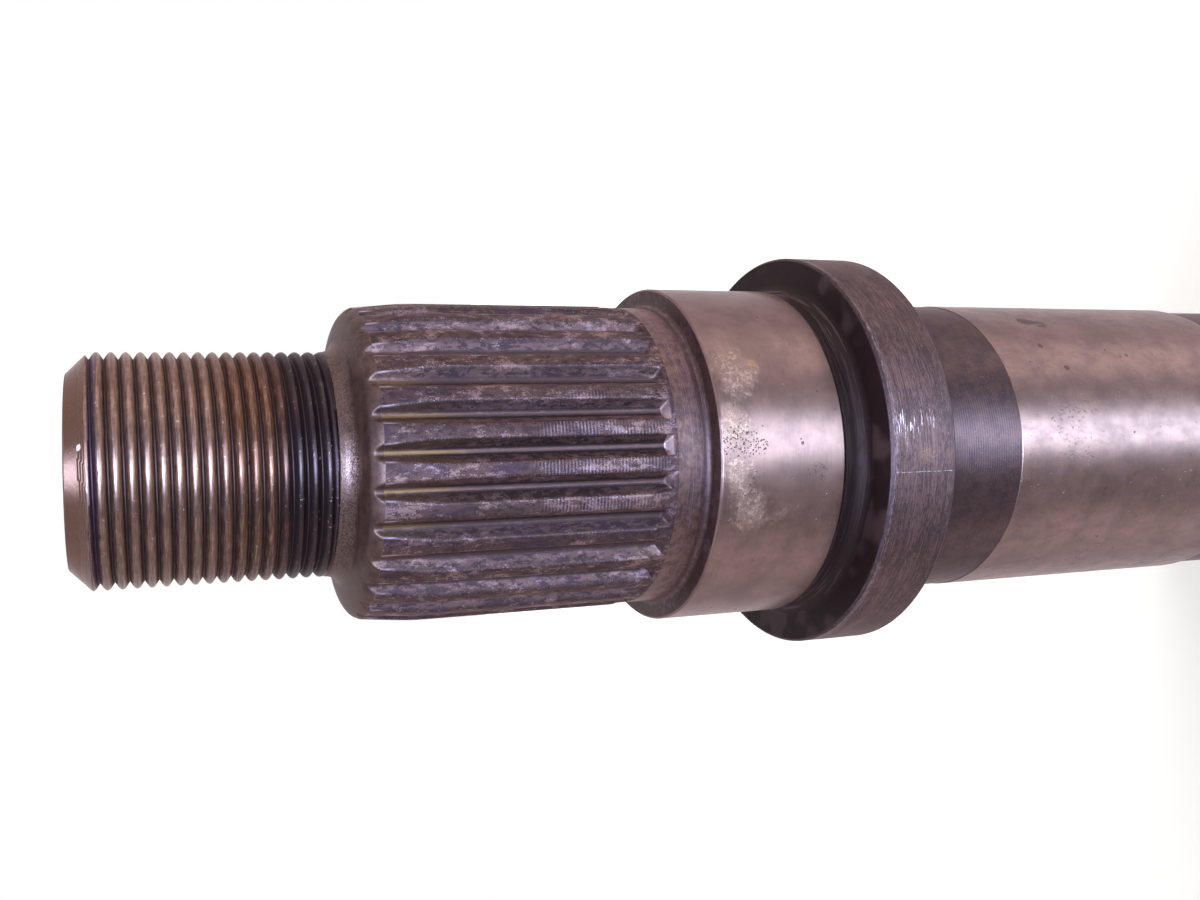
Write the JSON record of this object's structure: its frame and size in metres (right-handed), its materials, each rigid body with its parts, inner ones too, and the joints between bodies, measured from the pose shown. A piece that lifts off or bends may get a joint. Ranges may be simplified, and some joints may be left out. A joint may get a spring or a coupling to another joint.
{
  "type": "differential output shaft",
  "caption": "Turned steel output shaft with a threaded end, an involute spline, a ground bearing seat, a thrust collar and a ground journal.",
  "frame": {"origin": "centre of the flat inner end face, which the shaft stands on", "axes": "+Z along the shaft's axis, from the inner end up to the threaded end; one tooth space of the spline is centred on +X"},
  "size_m": [0.0604, 0.0604, 0.2065],
  "materials": {
    "machined_steel": "ground bright on the bearing seat and journal, dark heat-treated and as turned elsewhere, with light rust and old oil"
  },
  "bodies": {
    "root": {"output_shaft": "machined_steel"}
  },
  "joints": []
}
